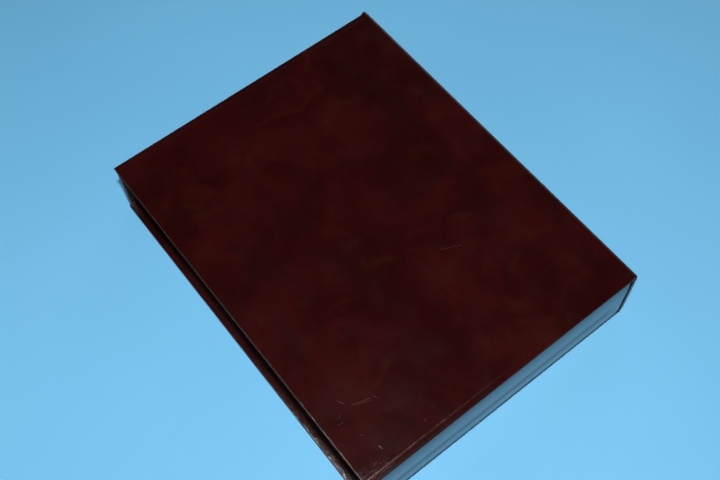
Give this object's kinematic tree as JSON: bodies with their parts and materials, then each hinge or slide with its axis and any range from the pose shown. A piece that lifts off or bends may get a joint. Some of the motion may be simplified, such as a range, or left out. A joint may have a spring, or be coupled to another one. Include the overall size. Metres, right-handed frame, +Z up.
{
  "type": "ring binder",
  "caption": "Box-type ring binder in glossy marbled leatherette, with head and tail walls on the back cover, hinged spine and front cover, and a lever-opened D-ring mechanism.",
  "frame": {"origin": "on the table under the middle of the closed binder, which lies on its back cover", "axes": "+Z up through the front cover, +X to the spine, +Y to the head wall"},
  "size_m": [0.248, 0.3184, 0.06],
  "materials": {
    "leatherette": "glossy",
    "greyboard": "matte",
    "lining_paper": "matte",
    "nickel": "polished",
    "zinc_steel": "satin"
  },
  "bodies": {
    "case_back": {"back_covering": "leatherette", "back_board": "greyboard", "back_liner": "lining_paper", "head_wall_covering": "leatherette", "head_wall_board": "greyboard", "head_wall_liner": "lining_paper", "tail_wall_covering": "leatherette", "tail_wall_board": "greyboard", "tail_wall_liner": "lining_paper", "head_apron": "leatherette", "tail_apron": "leatherette", "ring_housing": "nickel", "lever_pin_head": "zinc_steel", "lever_pin_tail": "zinc_steel", "rivet_head": "nickel", "rivet_tail": "nickel"},
    "spine": {"spine_covering": "leatherette", "spine_board": "greyboard", "spine_liner": "lining_paper", "rear_hinge": "leatherette"},
    "front_cover": {"front_covering": "leatherette", "front_board": "greyboard", "front_liner": "lining_paper", "front_hinge": "leatherette"},
    "rings_front": {"blade_front": "zinc_steel", "ring_post_1": "nickel", "ring_post_2": "nickel", "ring_post_3": "nickel", "ring_post_4": "nickel"},
    "rings_rear": {"blade_rear": "zinc_steel", "ring_arc_1": "nickel", "ring_arc_2": "nickel", "ring_arc_3": "nickel", "ring_arc_4": "nickel"},
    "lever_head": {"lever_head": "nickel"},
    "lever_tail": {"lever_tail": "nickel"}
  },
  "joints": [
    {"name": "spine_hinge", "type": "hinge", "parent": "case_back", "child": "spine", "pos_m": [0.124, 0, 0], "axis": [0, 1, 0], "range_deg": [0, 90], "deforming": ["rear_hinge"]},
    {"name": "front_cover_hinge", "type": "hinge", "parent": "spine", "child": "front_cover", "pos_m": [0.124, 0, 0.06], "axis": [0, 1, 0], "range_deg": [0, 90], "deforming": ["front_hinge"]},
    {"name": "rings_front_pivot", "type": "hinge", "parent": "case_back", "child": "rings_front", "pos_m": [0.0764, 0, 0.0054], "axis": [0, -1, 0], "range_deg": [0, 10]},
    {"name": "rings_rear_pivot", "type": "hinge", "parent": "case_back", "child": "rings_rear", "pos_m": [0.1036, 0, 0.0054], "axis": [0, 1, 0], "range_deg": [0, 10]},
    {"name": "lever_head_pivot", "type": "hinge", "parent": "case_back", "child": "lever_head", "pos_m": [0.09, 0.138, 0.0064], "axis": [-1, 0, 0], "range_deg": [0, 45]},
    {"name": "lever_tail_pivot", "type": "hinge", "parent": "case_back", "child": "lever_tail", "pos_m": [0.09, -0.138, 0.0064], "axis": [1, 0, 0], "range_deg": [0, 45]}
  ],
  "couplings": [
    {"joint": "rings_rear_pivot", "follows": "rings_front_pivot", "ratio": 1},
    {"joint": "lever_head_pivot", "follows": "rings_front_pivot", "ratio": 4.5},
    {"joint": "lever_tail_pivot", "follows": "rings_front_pivot", "ratio": 4.5}
  ]
}
